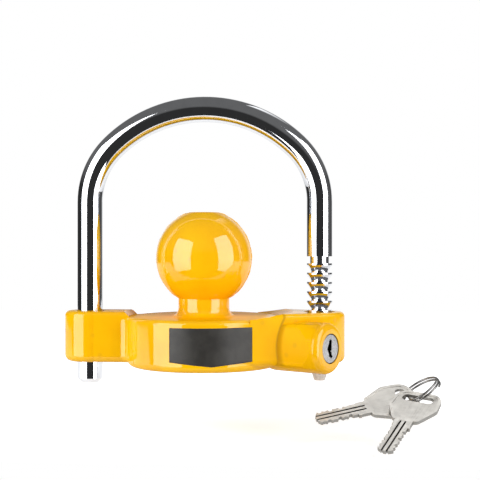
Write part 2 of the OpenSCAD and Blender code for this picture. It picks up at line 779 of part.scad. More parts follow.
// Pawl spring between the blind end of its bore and the pawl
module pawl_spring() {
    color(steel) pawl_place() translate([-pawl_tail - spring_room + pawl_wire / 2 + running_fit, 0, 0])
        rotate([0, 90, 0]) coil(pawl_coil_r, pawl_wire, pawl_pitch, pawl_turns, 12, 6);
}

// Plug that closes the hole drilled for the pawl, set a little below the boss's surface
module pawl_bore_plug() {
    outer = leg_reach + boss_d / 2 - plug_sink;
    color(yellow) pawl_place() pawl_rod(pawl_bore_d - 2 * press_gap, outer - access_plug_l, outer);
}

// Edge of the blade with its cuts for the wafers, running away from the tip on the side given by s
function blade_edge(s) = [for (n = [0 : wafer_count - 1])
    let (x = blade_l - wafer_first - (wafer_count - 1 - n) * wafer_pitch,
        cut = s * (window_h / 2 - key_play) + wafer_lift[wafer_count - 1 - n], land = s * blade_w / 2)
    each [[x - cut_top / 2, land], [x - cut_floor / 2, cut], [x + cut_floor / 2, cut], [x + cut_top / 2, land]]];

// Points of an arc about a centre, from one angle to another
function arc_points(centre, r, from, to) = [for (i = [0 : arc_steps]) let (a = from + (to - from) * i / arc_steps)
    centre + r * [cos(a), sin(a)]];

// Direction of the point where the outer tangent of two circles leaves them
function tangent_angle(c1, r1, c2, r2) = let (d = c2 - c1) 90 + atan2(d[1], d[0]) + asin((r2 - r1) / norm(d));

// Upper side of the bow from the neck on, drawn in by the inset: three arcs joined by their common tangents
function bow_side(inset) = let (r1 = bow_r1 - inset, r2 = bow_r2 - inset, r3 = bow_r3 - inset,
    start = 180 - asin((key_neck_w / 2 - inset - bow_c1[1]) / r1), t12 = tangent_angle(bow_c1, r1, bow_c2, r2),
    t23 = tangent_angle(bow_c2, r2, bow_c3, r3))
    concat(arc_points(bow_c1, r1, start, t12), arc_points(bow_c2, r2, t12, t23), arc_points(bow_c3, r3, t23, 0));

// Points on the other side of the key, in reverse order
function mirrored(list) = [for (i = [len(list) - 1 : -1 : 0]) [list[i][0], -list[i][1]]];

// One side of the key from its tip to its far end; only the lower side has the stop for the key face
function key_side(s) = concat([[0, s * key_tip_w / 2], [key_tip_l, s * blade_w / 2]], blade_edge(s),
    s > 0 ? [[blade_l + stop_l, blade_w / 2]]
        : [[blade_l, -blade_w / 2], [blade_l, -stop_w / 2], [blade_l + stop_l, -stop_w / 2]],
    [[blade_l + stop_l, s * key_neck_w / 2]], [for (p = bow_side(0)) [p[0], s * p[1]]]);

function backwards(list) = [for (i = [len(list) - 1 : -1 : 0]) list[i]];

// Flat key along +X from its tip, lying on the XY plane
module key() {
    color(nickel) difference() {
        linear_extrude(key_t) difference() {
            polygon(concat(key_side(1), backwards(key_side(-1))));
            for (s = [-1, 1]) translate([slot_x, s * (slot_l - slot_w) / 2]) circle(d = slot_w);
            translate([slot_x, 0]) square([slot_w, slot_l - slot_w], center = true);
        }
        for (s = [-1, 1], z = [-1, key_t - groove_depth])
            translate([-1, s * groove_pitch / 2 - groove_w / 2, z])
                cube([blade_l + groove_run + 1, groove_w, groove_depth + 1]);
        for (z = [-1, key_t - panel_depth]) translate([0, 0, z]) linear_extrude(panel_depth + 1)
            polygon(concat(bow_side(panel_rim), mirrored(bow_side(panel_rim))));
    }
}

// Where a point of a key comes to be once the key is turned
function turned_point(turn, p) = let (h = turn[0], e = turn[1], r = turn[2], y = p[1] * cos(r) - p[2] * sin(r),
    z = p[1] * sin(r) + p[2] * cos(r), x = p[0] * cos(e) - z * sin(e))
    [x * cos(h) - y * sin(h), x * sin(h) + y * cos(h), p[0] * sin(e) + z * cos(e)];

// Key turned as given, with the middle of its slot at a point
module placed_key(turn, slot) {
    translate(slot - turned_point(turn, [slot_x, 0, key_t / 2])) rotate([turn[2], -turn[1], turn[0]]) key();
}

module key_1() {
    placed_key(key_1_turn, slot_1);
}

module key_2() {
    placed_key(key_2_turn, slot_2);
}

module key_ring() {
    color(chrome) translate(ring_centre) rotate([0, ring_tilt, ring_heading]) rotate([0, 0, ring_spin])
        translate([0, 0, -ring_pitch]) coil(ring_mean_r, ring_wire, ring_pitch, ring_turns, ring_steps, 8);
}

echo("Least gap in the key ring", coil_gap(ring_mean_r, ring_wire, ring_pitch, ring_turns, ring_steps));
echo("Least gap in the pawl spring", coil_gap(pawl_coil_r, pawl_wire, pawl_pitch, pawl_turns, 12));
echo("Least gap in a wafer spring", coil_gap(spring_r, spring_wire, spring_pitch, spring_turns, 8));

body_casting();
shackle();
cylinder_sleeve();
cylinder_seal();
cylinder_pin();
lock_plug();
for (i = [0 : wafer_count - 1])
    wafer(i);
wafer_springs();
plug_cam();
cam_pin();
cam_clip();
locking_pawl();
pawl_spring();
pawl_bore_plug();
key_1();
key_2();
key_ring();
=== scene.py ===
"""Looks of a trailer coupler lock: finishes for the solids, and the pieces that are too fine for them.

The frame is the solids' own: the origin is the centre of the ball, +Z runs up the neck, +X points to the
lock end and -Y to the front. All lengths are metres.
"""
import math

import bmesh
import bpy
import numpy as np
from bpy.props import FloatProperty, FloatVectorProperty, IntProperty, PointerProperty
from mathutils import Euler, Matrix, Vector


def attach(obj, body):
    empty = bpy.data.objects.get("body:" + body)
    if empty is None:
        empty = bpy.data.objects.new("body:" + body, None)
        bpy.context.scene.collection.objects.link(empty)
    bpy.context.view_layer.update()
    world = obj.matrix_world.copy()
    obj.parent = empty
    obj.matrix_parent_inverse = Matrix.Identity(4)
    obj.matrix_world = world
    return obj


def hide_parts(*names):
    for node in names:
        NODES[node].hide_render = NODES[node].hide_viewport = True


bl_info = {
    "name": "Coupler lock finishes",
    "version": (1, 0, 0),
    "blender": (4, 5, 0),
    "location": "3D View > Sidebar > Coupler lock",
    "description": "Dresses the solids of a trailer coupler lock with finishes and fine pieces",
    "category": "Object",
}

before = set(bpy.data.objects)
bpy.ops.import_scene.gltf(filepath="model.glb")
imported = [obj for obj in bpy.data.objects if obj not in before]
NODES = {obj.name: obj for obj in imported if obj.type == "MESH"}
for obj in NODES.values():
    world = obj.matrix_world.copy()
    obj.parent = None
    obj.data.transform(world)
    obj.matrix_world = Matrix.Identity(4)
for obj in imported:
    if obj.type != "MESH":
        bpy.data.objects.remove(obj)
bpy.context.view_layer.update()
MM = 0.001

# Sizes that the solids have too
BALL_R = 23.8 * MM
BALL_FLAT_R = 7.4 * MM
NECK_R = 12.7 * MM
DISC_R = 38.0 * MM
BOSS_R = 12.4 * MM
LEG_X = 57.5 * MM
FACE_CENTRE = np.array([63.0, -25.5, -42.4]) * MM
LOCK_ANGLE = math.radians(33)
PAWL_TILT = math.radians(35)
FLANK_SIDE = 12.3 * MM
FLANK_BOW = 30.0 * MM
WING_SLOPE = math.asin((DISC_R - BOSS_R) / LEG_X)

# Where the coat changes: along X and Z, off the wing's wall, across and along the barrel, and in the crease
WING_START = (18 * MM, 24 * MM)
LOCK_END = (28 * MM, 34 * MM)
BODY_TOP = (-30 * MM, -24 * MM)
WALL_FADE = (0.2 * MM, 0.6 * MM)
FLANK_FADE = (-8.5 * MM, -6.5 * MM)
FLANK_FRONT = (-3.4 * MM, -2.0 * MM)
FLANK_BACK = (-25 * MM, -24 * MM)
# The painted shade in the crease fades out over this distance, and reaches further along the flank
CREASE_SHADE_FADE = (0.1 * MM, 1.0 * MM)
CREASE_SHADE_SPREAD = 0.3

# Where the metals change: at the keyway, down the shackle's leg, along a key from its slot, and into a key
KEYWAY_R = 4.9 * MM
# The painted shade inside the keyway fades in over this depth
KEYWAY_SHADE_FADE = (-0.6 * MM, -0.35 * MM)
TURNING_PITCH = 0.32 * MM
RATCHET_TOP = 1 * MM
TIP_FADE = (-54.2 * MM, -53.9 * MM)
BLADE_START = -5.0 * MM
BLADE_END = -44.0 * MM
BLADE_DULL = (-38.0 * MM, -22.0 * MM)
PANEL_DEPTH = (0.84 * MM, 0.94 * MM)
EDGE_DEPTH = (0.72 * MM, 0.78 * MM)
GROOVE_DEPTH = (0.7 * MM, 0.78 * MM)
GROOVE_HALF = (1.7 * MM, 1.75 * MM)

# Where the fine pieces lie
NIB_CENTRE = np.array([36.6, -23.25, -42.2]) * MM
NIB_HALF = np.array([1.3, -0.1, 0.15]) * MM
NIB_WIDTH = 1.3 * MM
NIB_HEIGHT = 0.6 * MM
RING_CENTRE = np.array([105.3, -20.9, -62.1]) * MM
RING_TURNS = (("z", 131.6), ("y", 35), ("z", 200.8))

# The floor under the keys, the shadow on it, and the point that the small panel faces
KEY_FLOOR = -85.7 * MM
SHADOW_SPOT = (0.09, -0.02, KEY_FLOOR)
SHADOW_FADE = (0.05, 0.16)
KEYS_AIM = np.array([98.0, -40.0, -68.0]) * MM

# Each key's finish, its turns about X, Y and Z in degrees, and the middle of its slot
KEYS = {
    "key_1": ("Nickel of the left key", (29.3, -9.8, 19.2), np.array([97.5, -23.0, -66.4]) * MM),
    "key_2": ("Nickel of the front key", (6.5, -22.8, 64.6), np.array([103.3, -29.5, -65.7]) * MM),
}


def linear(r, g, b):
    """Linear colour from 8-bit screen values."""
    c = np.array([r, g, b]) / 255
    return tuple(np.where(c <= 0.04045, c / 12.92, ((c + 0.055) / 1.055) ** 2.4))


def darker(colour, share):
    """A colour with each of its channels times a share."""
    return tuple(share * c for c in colour)


# Colours of pits, of the shade painted into the crease, the keyway and the key's grooves, of the shackle's
# bare tip, of small pieces and of the floor, with its share in mirrors
PIT_COLOUR = (0.62, 0.30, 0.02)
CREASE_SHADE_COLOUR = (0.42, 0.19, 0.008)
TIP_PALE = linear(236, 224, 213)
TIP_DARK = linear(212, 202, 193)
SPECK_COLOUR = linear(120, 122, 126)
KEYWAY_SHADE_COLOUR = linear(18, 17, 16)
GROOVE_SHADE_COLOUR = linear(58, 52, 46)
SEAL_COLOUR = linear(22, 22, 24)
PIN_COLOUR = linear(70, 68, 66)
RING_COLOUR = linear(150, 148, 146)
FLOOR_WHITE = (0.75, 0.75, 0.75, 1)
FLOOR_MIRRORED = 0.7


class CoatProperties(bpy.types.PropertyGroup):
    """Thick glossy coat on the casting."""
    colour: FloatVectorProperty(name="Coat colour", description="Colour of the coat", subtype="COLOR",
                                size=3, min=0, max=1, default=linear(255, 194, 8))
    peel: FloatProperty(name="Orange peel", description="Width of the coat's small waves",
                        default=1.8 * MM, unit="LENGTH")
    seam_height: FloatProperty(name="Seam height", default=0.35 * MM, unit="LENGTH",
                               description="Height of the bead along the ball's parting line")


class LabelProperties(bpy.types.PropertyGroup):
    """Bare label on the front of the disc."""
    left: FloatProperty(name="Left end", description="Left end, along the wall from the disc's front",
                        default=-12.6 * MM, unit="LENGTH")
    right: FloatProperty(name="Right end", description="Right end, along the wall from the disc's front",
                         default=27.9 * MM, unit="LENGTH")
    top: FloatProperty(name="Top", description="Height of the top edge", default=-32.2 * MM, unit="LENGTH")
    bottom: FloatProperty(name="Bottom", description="Height of the bottom corners", default=-48.4 * MM,
                          unit="LENGTH")
    point: FloatProperty(name="Point", description="How far the middle of the bottom edge hangs down",
                         default=2.0 * MM, unit="LENGTH")
    thickness: FloatProperty(name="Thickness", description="Thickness of the label", default=0.16 * MM,
                             unit="LENGTH")
    colour: FloatVectorProperty(name="Label colour", description="Colour of the label", subtype="COLOR",
                                size=3, min=0, max=1, default=linear(38, 36, 33))


class MetalProperties(bpy.types.PropertyGroup):
    """Bare and plated metals."""
    chrome: FloatVectorProperty(name="Chrome", description="Colour of the plated bar", subtype="COLOR",
                                size=3, min=0, max=1, default=linear(236, 238, 242))
    zinc: FloatVectorProperty(name="Zinc", description="Colour of the key face", subtype="COLOR",
                              size=3, min=0, max=1, default=linear(224, 224, 226))
    nickel: FloatVectorProperty(name="Nickel", description="Colour of the keys", subtype="COLOR",
                                size=3, min=0, max=1, default=linear(222, 219, 213))
    steel: FloatVectorProperty(name="Steel", description="Colour of the inner steel pieces", subtype="COLOR",
                               size=3, min=0, max=1, default=linear(172, 174, 178))
    brass: FloatVectorProperty(name="Brass", description="Colour of the wafers", subtype="COLOR",
                               size=3, min=0, max=1, default=linear(214, 178, 98))


class RingProperties(bpy.types.PropertyGroup):
    """Split ring of the keys."""
    radius: FloatProperty(name="Radius", description="Radius of the ring at the middle of its wire",
                          default=9.5 * MM, unit="LENGTH")
    wire: FloatProperty(name="Wire", description="Thickness of the wire", default=1.0 * MM, unit="LENGTH")
    pitch: FloatProperty(name="Pitch", description="Distance from one turn to the next", default=1.45 * MM,
                         unit="LENGTH")
    turns: IntProperty(name="Turns", description="Turns of the wire", default=2, min=1)


class StageProperties(bpy.types.PropertyGroup):
    """Camera, lamps and floor."""
    eye: FloatVectorProperty(name="Eye", description="Place of the camera", subtype="TRANSLATION", size=3,
                             default=(60.8 * MM, -545.45 * MM, 8.86 * MM))
    target: FloatVectorProperty(name="Target", description="Point that the camera looks at",
                                subtype="TRANSLATION", size=3, default=(18.06 * MM, 0.0, 8.86 * MM))
    lens: FloatProperty(name="Lens", description="Focal length on a 36 mm sensor", default=82.5)
    left_level: FloatProperty(name="Left softbox", default=3.5,
                              description="Brightness of the left softbox")
    right_level: FloatProperty(name="Right softbox", default=3.5,
                               description="Brightness of the right softbox")
    panel_level: FloatProperty(name="Panel", default=0.14,
                               description="Brightness of the small panel over the keys")


def place_matrix():
    """Frame of the lock barrel, as in the solids: +Z out of the face, +X toward the ratchet leg, +Y up."""
    a = math.pi / 2 - LOCK_ANGLE
    turn = np.array([[math.cos(a), -math.sin(a), 0], [math.sin(a), math.cos(a), 0], [0, 0, 1]])
    return turn @ np.array([[1, 0, 0], [0, 0, -1], [0, 1, 0]])


def lock_point(points):
    """Points of the barrel's frame in the object's frame."""
    return points @ place_matrix().T + FACE_CENTRE


def turned(points, axis, degrees):
    """Points turned about one of the axes x, y or z through the origin."""
    a = math.radians(degrees)
    i, j = {"x": (1, 2), "y": (2, 0), "z": (0, 1)}[axis]
    out = points.copy()
    out[..., i] = points[..., i] * math.cos(a) - points[..., j] * math.sin(a)
    out[..., j] = points[..., i] * math.sin(a) + points[..., j] * math.cos(a)
    return out


def grid_faces(rows, columns, wrap):
    """Quads of a grid of rows by columns of points; wrap joins the last column to the first."""
    i, j = np.meshgrid(np.arange(rows - 1), np.arange(columns if wrap else columns - 1), indexing="ij")
    k = (j + 1) % columns
    low, high = i * columns, (i + 1) * columns
    return np.stack([low + j, low + k, high + k, high + j], -1).reshape(-1, 4)


def add_piece(name, points, faces, material, smooth=True):
    """New mesh object at the origin from arrays of points and of faces' corners."""
    mesh = bpy.data.meshes.new(name)
    mesh.from_pydata(points.reshape(-1, 3).tolist(), [], [list(f) for f in faces])
    mesh.polygons.foreach_set("use_smooth", np.full(len(mesh.polygons), smooth))
    mesh.materials.append(material)
    mesh.update()
    piece = bpy.data.objects.new(name, mesh)
    bpy.context.scene.collection.objects.link(piece)
    return piece


def tube(path, section, name, material, up):
    """A section carried along a path.

    At each point of the path, the section's first coordinate runs square to the path and to up, and its
    second along up made square to the path. The two ends are closed by fans."""
    t = np.gradient(path, axis=0)
    t /= np.linalg.norm(t, axis=1, keepdims=True)
    side = np.cross(t, up)
    side /= np.linalg.norm(side, axis=1, keepdims=True)
    rise = np.cross(side, t)
    points = path[:, None] + section[..., :1] * side[:, None] + section[..., 1:] * rise[:, None]
    n, m = points.shape[:2]
    faces = grid_faces(n, m, True).tolist()
    ends = [list(range(m))[::-1], list(range((n - 1) * m, n * m))]
    piece = add_piece(name, points, faces + ends, material)
    fix_outward(piece)
    return piece


def fix_outward(piece):
    """Turns all faces of a closed piece outward."""
    b = bmesh.new()
    b.from_mesh(piece.data)
    bmesh.ops.recalc_face_normals(b, faces=b.faces)
    b.to_mesh(piece.data)
    b.free()


def ellipse(width, height, sides):
    """Closed elliptical section, one row of points."""
    a = np.linspace(0, 2 * math.pi, sides, endpoint=False)
    return np.stack([width / 2 * np.cos(a), height / 2 * np.sin(a)], -1)


def helix(radius, pitch, turns, steps):
    """Helix about +Z: radius times cosine and sine of the angle, and a rise of pitch for each turn."""
    a = np.linspace(0, 2 * math.pi * turns, turns * steps + 1)
    return np.stack([radius * np.cos(a), radius * np.sin(a), pitch * a / (2 * math.pi)], -1)


class Nodes:
    """Short way to build a node tree: each call adds a node, sets its values and links its inputs."""

    def __init__(self, tree):
        self.tree = tree

    def add(self, kind, links=None, values=None, **settings):
        node = self.tree.nodes.new(kind)
        for key, value in settings.items():
            setattr(node, key, value)
        for key, value in (values or {}).items():
            node.inputs[key].default_value = value
        for key, socket in (links or {}).items():
            self.link(socket, node.inputs[key])
        return node

    def link(self, output, socket):
        self.tree.links.new(output, socket)

    def math(self, operation, a, b=None, c=None):
        node = self.tree.nodes.new("ShaderNodeMath")
        node.operation = operation
        for i, value in enumerate((a, b, c)):
            if value is None:
                continue
            if isinstance(value, (int, float)):
                node.inputs[i].default_value = value
            else:
                self.link(value, node.inputs[i])
        return node.outputs[0]

    def remap(self, value, low, high, to_low, to_high, smooth=False):
        node = self.add("ShaderNodeMapRange", {"Value": value},
                        {"From Min": low, "From Max": high, "To Min": to_low, "To Max": to_high})
        node.interpolation_type = "SMOOTHSTEP" if smooth else "LINEAR"
        return node.outputs["Result"]

    def mix(self, factor, a, b):
        """Colour a where factor is 0 and b where it is 1; either may be a socket or a colour."""
        node = self.add("ShaderNodeMix", {"Factor": factor}, data_type="RGBA")
        for socket, value in ((node.inputs[6], a), (node.inputs[7], b)):
            if isinstance(value, (tuple, list)):
                socket.default_value = (*value[:3], 1)
            else:
                self.link(value, socket)
        return node.outputs[2]


def new_group(name, inputs, outputs):
    """Empty shader node group with float inputs given as name: default, and float outputs."""
    group = bpy.data.node_groups.new(name, "ShaderNodeTree")
    group.interface.new_socket("Vector", in_out="INPUT", socket_type="NodeSocketVector")
    for key, value in inputs.items():
        group.interface.new_socket(key, in_out="INPUT", socket_type="NodeSocketFloat").default_value = value
    for key in outputs:
        group.interface.new_socket(key, in_out="OUTPUT", socket_type="NodeSocketFloat")
    return group, group.nodes.new("NodeGroupInput"), group.nodes.new("NodeGroupOutput"), Nodes(group)


def grain_group():
    """Uneven height and mask: two sizes of noise, the finer one an eighth as wide as the coarser."""
    group, start, end, n = new_group("Grain", {"Scale": 500.0, "Detail": 2.0}, ["Height", "Mask"])
    noise = n.add("ShaderNodeTexNoise", {"Vector": start.outputs["Vector"], "Scale": start.outputs["Scale"],
                                         "Detail": start.outputs["Detail"]}, {"Roughness": 0.55})
    fine = n.add("ShaderNodeTexNoise", {"Vector": start.outputs["Vector"],
                                        "Scale": n.math("MULTIPLY", start.outputs["Scale"], 8.0)})
    height = n.math("MULTIPLY_ADD", fine.outputs["Fac"], 0.15, noise.outputs["Fac"])
    n.link(height, end.inputs["Height"])
    n.link(n.remap(height, 0.4, 0.75, 0.0, 1.0, True), end.inputs["Mask"])
    return group


def scratch_group():
    """Fine lines: noise stretched along Z of the vector it is given, cut to thin bands."""
    group, start, end, n = new_group("Scratches", {"Scale": 1500.0, "Stretch": 0.02, "Amount": 0.5}, ["Mask"])
    squeeze = n.add("ShaderNodeCombineXYZ", {"Z": start.outputs["Stretch"]}, {"X": 1.0, "Y": 1.0})
    vector = n.add("ShaderNodeVectorMath", {0: start.outputs["Vector"], 1: squeeze.outputs[0]},
                   operation="MULTIPLY")
    lines = n.add("ShaderNodeTexNoise", {"Vector": vector.outputs[0], "Scale": start.outputs["Scale"]},
                  {"Detail": 3.0, "Roughness": 0.6})
    band = n.remap(lines.outputs["Fac"], 0.52, 0.72, 0.0, 1.0)
    n.link(n.math("MULTIPLY", band, start.outputs["Amount"]), end.inputs["Mask"])
    return group


def speck_group():
    """Small separate spots: cells whose own random value is above a share, soft toward their rims."""
    group, start, end, n = new_group("Specks", {"Scale": 2500.0, "Share": 0.7}, ["Mask"])
    cells = n.add("ShaderNodeTexVoronoi",
                  {"Vector": start.outputs["Vector"], "Scale": start.outputs["Scale"]})
    chance = n.add("ShaderNodeSeparateColor", {"Color": cells.outputs["Color"]})
    chosen = n.math("GREATER_THAN", chance.outputs[0], start.outputs["Share"])
    spot = n.remap(cells.outputs["Distance"], 0.15, 0.5, 1.0, 0.0, True)
    n.link(n.math("MULTIPLY", chosen, spot), end.inputs["Mask"])
    return group


GROUPS = {}


def use_group(n, maker, vector, **values):
    """Places a shared group in a material with its own values and returns its node."""
    if maker.__name__ not in GROUPS:
        GROUPS[maker.__name__] = maker()
    node = n.tree.nodes.new("ShaderNodeGroup")
    node.node_tree = GROUPS[maker.__name__]
    n.link(vector, node.inputs["Vector"])
    for key, value in values.items():
        node.inputs[key].default_value = value
    return node


def new_material(name, **values):
    """Material with a Principled shader, whose constant sockets are set here.

    Returns it with its tree's helper, the shader and the object's coordinates."""
    material = bpy.data.materials.new(name)
    material.use_nodes = True
    tree = material.node_tree
    tree.nodes.clear()
    n = Nodes(tree)
    shader = n.add("ShaderNodeBsdfPrincipled")
    for key, value in values.items():
        shader.inputs[key.replace("_", " ")].default_value = value
    n.add("ShaderNodeOutputMaterial", {"Surface": shader.outputs[0]})
    place = n.add("ShaderNodeTexCoord").outputs["Object"]
    return material, n, shader, place


def add_bump(n, shader, height, distance, strength=1.0):
    """Bump whose full height is distance, chained under any bump the shader already has."""
    bump = n.add("ShaderNodeBump", {"Height": height}, {"Strength": strength, "Distance": distance})
    socket = shader.inputs["Normal"]
    if socket.is_linked:
        n.link(socket.links[0].from_socket, bump.inputs["Normal"])
    n.link(bump.outputs[0], socket)


def barrel_axes(n, place):
    """Coordinates in the lock barrel's frame, whose origin is the centre of its face."""
    barrel = n.add("ShaderNodeMapping", {"Vector": place}, vector_type="TEXTURE")
    barrel.inputs["Location"].default_value = tuple(FACE_CENTRE)
    barrel.inputs["Rotation"].default_value = Matrix(place_matrix()).to_euler()
    return n.add("ShaderNodeSeparateXYZ", {"Vector": barrel.outputs[0]}).outputs


def coat_material(settings):
    """Thick yellow coat: slow waves, orange peel, a few pits, and colour a little deeper where it is thick.

    Faces that look up carry a film of dust, which takes off most of their gloss, but not at the lock end.
    Faces that look down and the body below the ball are duller, and the wing's wall and the barrel's flank
    hardly shine. Shade is painted into the crease between those two: it is darkest where the distances from
    the wall's plane and from the flank's bow are both small, and it reaches further along the flank."""
    colour = tuple(settings.colour)
    material, n, shader, place = new_material("Yellow coat", Specular_IOR_Level=0.0, Coat_Roughness=0.05,
                                              Coat_IOR=1.75)
    slow = use_group(n, grain_group, place, Scale=45.0, Detail=1.0)
    peel = use_group(n, grain_group, place, Scale=0.45 / settings.peel, Detail=0.0)
    pits = use_group(n, speck_group, place, Scale=260.0, Share=0.94)
    deep = (colour[0] * 0.95, colour[1] * 0.88, colour[2] * 0.7)
    shade = n.mix(slow.outputs["Mask"], colour, deep)
    dusty = n.mix(n.math("MULTIPLY", pits.outputs["Mask"], 0.25), shade, PIT_COLOUR)
    local = barrel_axes(n, place)
    sag = n.math("MULTIPLY", n.math("MULTIPLY", local["Y"], local["Y"]), 0.5 / FLANK_BOW)
    flank = n.math("SUBTRACT", n.math("ADD", local["X"], FLANK_SIDE), sag)
    plane = n.add("ShaderNodeVectorMath", {0: place}, operation="DOT_PRODUCT")
    plane.inputs[1].default_value = (math.sin(WING_SLOPE), -math.cos(WING_SLOPE), 0.0)
    off_wall = n.math("ABSOLUTE", n.math("SUBTRACT", plane.outputs["Value"], DISC_R))
    # Painted shade: the crease between the wing's wall and the barrel's flank is coloured darker
    crease = n.math("MAXIMUM", n.math("MULTIPLY", off_wall, CREASE_SHADE_SPREAD), n.math("ABSOLUTE", flank))
    crease = n.remap(crease, *CREASE_SHADE_FADE, 0.6, 0.0, True)
    n.link(n.mix(crease, dusty, CREASE_SHADE_COLOUR), shader.inputs["Base Color"])
    n.link(n.remap(peel.outputs["Height"], 0.3, 0.8, 0.16, 0.3), shader.inputs["Roughness"])
    facing = n.add("ShaderNodeSeparateXYZ", {"Vector": n.add("ShaderNodeTexCoord").outputs["Normal"]}).outputs
    axes = n.add("ShaderNodeSeparateXYZ", {"Vector": place}).outputs
    side = n.math("MULTIPLY", n.remap(local["X"], *FLANK_FADE, 1.0, 0.0, True),
                  n.remap(local["Z"], *FLANK_FRONT, 1.0, 0.0, True))
    side = n.math("MULTIPLY", side, n.remap(local["Z"], *FLANK_BACK, 0.0, 1.0))
    wing = n.math("MULTIPLY", n.remap(off_wall, *WALL_FADE, 1.0, 0.0),
                  n.remap(axes["X"], *WING_START, 0.0, 1.0, True))
    plain = n.math("MAXIMUM", side, wing)
    clean = n.math("MAXIMUM", n.remap(facing["Z"], 0.8, 0.98, 1.0, 0.3, True),
                   n.remap(axes["X"], *LOCK_END, 0.0, 0.9, True))
    gloss = n.math("MULTIPLY", clean, n.remap(facing["Z"], -0.5, 0.0, 0.45, 1.0, True))
    gloss = n.math("MULTIPLY", gloss, n.remap(axes["Z"], *BODY_TOP, 0.75, 1.0, True))
    gloss = n.math("MULTIPLY", gloss, n.remap(plain, 0.0, 1.0, 1.0, 0.06))
    n.link(gloss, shader.inputs["Coat Weight"])
    add_bump(n, shader, slow.outputs["Height"], 0.35 * MM, 0.6)
    add_bump(n, shader, peel.outputs["Height"], 0.02 * MM, 0.5)
    return material


def chrome_material(settings):
    """Bright plate on the bar, a little duller in the ratchet, with a bare pale tip on that leg."""
    material, n, shader, place = new_material("Chrome plate")
    axes = n.add("ShaderNodeSeparateXYZ", {"Vector": place}).outputs
    right = n.math("GREATER_THAN", axes["X"], 0.0)
    ratchet = n.math("MULTIPLY", right, n.math("LESS_THAN", axes["Z"], RATCHET_TOP))
    tip = n.math("MULTIPLY", right, n.remap(axes["Z"], *TIP_FADE, 1.0, 0.0))
    lines = use_group(n, scratch_group, place, Scale=1800.0, Stretch=0.012, Amount=0.6)
    haze = use_group(n, grain_group, place, Scale=160.0, Detail=3.0)
    grit = use_group(n, grain_group, place, Scale=900.0, Detail=2.0)
    plate = n.mix(haze.outputs["Mask"], tuple(settings.chrome), darker(settings.chrome, 0.93))
    pale = n.mix(grit.outputs["Mask"], TIP_PALE, TIP_DARK)
    n.link(n.mix(tip, plate, pale), shader.inputs["Base Color"])
    gloss = n.math("MULTIPLY_ADD", lines.outputs["Mask"], 0.10, 0.045)
    gloss = n.math("MULTIPLY_ADD", ratchet, 0.07, gloss)
    n.link(n.math("MULTIPLY_ADD", tip, 0.3, gloss), shader.inputs["Roughness"])
    n.link(n.math("MULTIPLY_ADD", tip, -0.75, 1.0), shader.inputs["Metallic"])
    add_bump(n, shader, lines.outputs["Mask"], 0.004 * MM, 0.4)
    add_bump(n, shader, haze.outputs["Height"], 0.03 * MM, 0.3)
    return material


def zinc_material(settings):
    """Die-cast key face: speckled satin, with turning marks round the barrel's axis.

    Shade is painted dark inside the keyway: it lies behind the face and within the plug's radius."""
    material, n, shader, place = new_material("Satin zinc", Metallic=0.92)
    centre = n.add("ShaderNodeVectorMath", {0: place}, operation="SUBTRACT")
    centre.inputs[1].default_value = tuple(FACE_CENTRE)
    reach = n.add("ShaderNodeVectorMath", {0: centre.outputs[0]}, operation="LENGTH")
    rings = n.math("SINE", n.math("MULTIPLY", reach.outputs["Value"], 2 * math.pi / TURNING_PITCH))
    grit = use_group(n, grain_group, place, Scale=1500.0, Detail=3.0)
    specks = use_group(n, speck_group, place, Scale=2100.0, Share=0.62)
    zinc = tuple(settings.zinc)
    shade = n.mix(grit.outputs["Mask"], zinc, darker(zinc, 0.72))
    shade = n.mix(n.math("MULTIPLY", specks.outputs["Mask"], 0.5), shade, SPECK_COLOUR)
    local = barrel_axes(n, place)
    off_axis = n.math("MULTIPLY_ADD", local["X"], local["X"], n.math("MULTIPLY", local["Y"], local["Y"]))
    # Painted shade: the keyway behind the face is coloured nearly black
    keyway_shade = n.math("MULTIPLY", n.math("LESS_THAN", off_axis, KEYWAY_R ** 2),
                    n.remap(local["Z"], *KEYWAY_SHADE_FADE, 1.0, 0.0))
    n.link(n.mix(keyway_shade, shade, KEYWAY_SHADE_COLOUR), shader.inputs["Base Color"])
    n.link(n.remap(grit.outputs["Height"], 0.35, 0.8, 0.26, 0.46), shader.inputs["Roughness"])
    add_bump(n, shader, rings, 0.008 * MM, 0.35)
    add_bump(n, shader, specks.outputs["Mask"], 0.05 * MM, 0.6)
    return material


